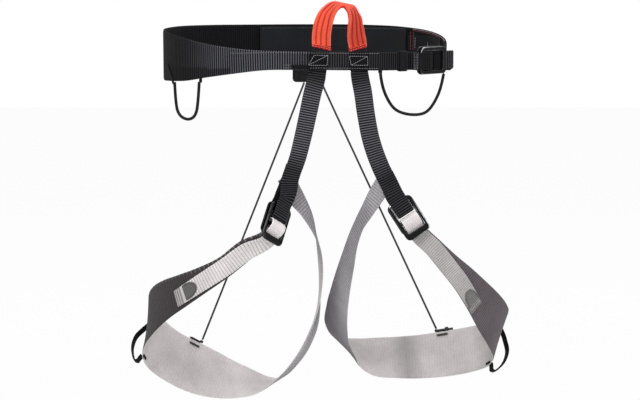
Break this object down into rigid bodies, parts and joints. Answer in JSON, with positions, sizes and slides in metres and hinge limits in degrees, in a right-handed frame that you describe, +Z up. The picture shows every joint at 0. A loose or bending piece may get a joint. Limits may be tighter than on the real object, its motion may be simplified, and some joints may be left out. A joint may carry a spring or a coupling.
{
  "type": "climbing harness",
  "caption": "Lightweight climbing harness: a wide waist belt with a sewn tie-in loop in front, slim risers to adjustable leg loops, elastic rear cords and small gear loops.",
  "frame": {"origin": "middle of the waist belt's ring, at the height of the belt's middle line", "axes": "+Z up, +X towards the waist buckle (on the right seen from in front), -Y the way the wearer faces"},
  "size_m": [0.4446, 0.2449, 0.4745],
  "materials": {
    "belt_webbing": "woven black webbing with strong lengthwise ribs",
    "belt_lining": "fine plain lining, matte",
    "label": "thin woven patch with a coloured stitched border",
    "riser_webbing": "narrow ribbed webbing, charcoal",
    "leg_webbing": "wide ribbed webbing, warm grey outside and pale grey inside",
    "strap_webbing": "pale grey adjusting webbing, ribbed across",
    "tie_in_sleeve": "tightly woven orange-red protective sleeve",
    "tie_in_webbing": "strong charcoal webbing",
    "buckle": "black anodised, with bare polished edges",
    "hook": "moulded black plastic, lightly textured",
    "elastic_cord": "braided elastic cord, dark grey",
    "gear_cord": "braided cord in a snug dark grey sheath",
    "elastic_tape": "black elastic tape",
    "trim": "black binding tape"
  },
  "bodies": {
    "waist_belt": {"waist_band": "belt_webbing", "back_lining": "belt_lining", "label_patch": "label", "front_reinforcement": "trim", "back_tab": "trim", "riser_tack_left": "riser_webbing", "riser_tack_right": "riser_webbing", "waist_buckle_frame": "buckle", "gear_anchor_left_rear": "trim", "gear_anchor_left_front": "trim", "gear_anchor_right_front": "trim", "gear_anchor_right_rear": "trim"},
    "tie_in_loop": {"tie_in_webbing": "tie_in_webbing", "tie_in_sleeve": "tie_in_sleeve"},
    "belt_keeper": {"strap_keeper": "elastic_tape"},
    "waist_tail": {"waist_strap_tail": "belt_webbing"},
    "waist_slider": {"waist_buckle_slider": "buckle"},
    "leg_left": {"riser_left": "riser_webbing", "leg_band_left": "leg_webbing", "left_buckle_frame": "buckle", "leg_keeper_left": "elastic_tape", "rear_hook_left": "hook", "rear_cord_left": "elastic_cord"},
    "left_slider": {"left_buckle_slider": "buckle"},
    "leg_tail_left": {"leg_strap_left": "strap_webbing", "strap_hem_left": "trim"},
    "gear_left": {"gear_loop_left": "gear_cord"},
    "leg_right": {"riser_right": "riser_webbing", "leg_band_right": "leg_webbing", "right_buckle_frame": "buckle", "leg_keeper_right": "elastic_tape", "rear_hook_right": "hook", "rear_cord_right": "elastic_cord"},
    "right_slider": {"right_buckle_slider": "buckle"},
    "leg_tail_right": {"leg_strap_right": "strap_webbing", "strap_hem_right": "trim"},
    "gear_right": {"gear_loop_right": "gear_cord"}
  },
  "joints": [
    {"name": "tie_in_fold", "type": "hinge", "parent": "waist_belt", "child": "tie_in_loop", "pos_m": [0.0389, -0.1037, 0.012], "axis": [0.9848, 0.1735, 0], "range_deg": [-8, 78]},
    {"name": "belt_keeper_slide", "type": "slide", "parent": "waist_belt", "child": "belt_keeper", "axis": [0.8656, 0.5008, 0], "range_m": [-0.004, 0.004]},
    {"name": "waist_slider_open", "type": "hinge", "parent": "waist_belt", "child": "waist_slider", "pos_m": [0.12898, -0.07259, -0.0035], "axis": [0, 0, -1], "range_deg": [0, 40]},
    {"name": "waist_tail_lift", "type": "hinge", "parent": "waist_belt", "child": "waist_tail", "pos_m": [0.1581, -0.04377, -0.0035], "axis": [0, 0, -1], "range_deg": [0, 40]},
    {"name": "leg_swing_left", "type": "hinge", "parent": "waist_belt", "child": "leg_left", "pos_m": [0.014, -0.1075, -0.0144], "axis": [1, 0, 0], "range_deg": [-25, 10], "stiffness_Nm_per_rad": 0.5, "springref_deg": 1.8, "deforming": ["rear_cord_left"]},
    {"name": "left_slider_open", "type": "hinge", "parent": "leg_left", "child": "left_slider", "pos_m": [-0.02466, -0.10232, -0.16131], "axis": [-0.6964, -0.4974, 0.5173], "range_deg": [0, 40]},
    {"name": "leg_tail_left_lift", "type": "hinge", "parent": "leg_left", "child": "leg_tail_left", "pos_m": [-0.03638, -0.11836, -0.19251], "axis": [-0.6964, -0.4974, 0.5173], "range_deg": [0, 25]},
    {"name": "leg_swing_right", "type": "hinge", "parent": "waist_belt", "child": "leg_right", "pos_m": [0.0602, -0.1002, -0.0152], "axis": [1, 0, 0], "range_deg": [-25, 10], "stiffness_Nm_per_rad": 0.5, "springref_deg": 1.35, "deforming": ["rear_cord_right"]},
    {"name": "right_slider_open", "type": "hinge", "parent": "leg_right", "child": "right_slider", "pos_m": [0.10293, -0.11245, -0.15448], "axis": [-0.8396, -0.12, -0.5298], "range_deg": [0, 40]},
    {"name": "leg_tail_right_lift", "type": "hinge", "parent": "leg_right", "child": "leg_tail_right", "pos_m": [0.12284, -0.11444, -0.18559], "axis": [-0.8396, -0.12, -0.5298], "range_deg": [0, 25]},
    {"name": "gear_left_swing", "type": "hinge", "parent": "waist_belt", "child": "gear_left", "pos_m": [-0.1307, -0.0621, -0.0275], "axis": [-0.711, 0.7014, -0.0506], "range_deg": [-15, 70]},
    {"name": "gear_right_swing", "type": "hinge", "parent": "waist_belt", "child": "gear_right", "pos_m": [0.1202, -0.0563, -0.0175], "axis": [-0.7098, -0.7002, 0.0764], "range_deg": [-15, 28]}
  ]
}
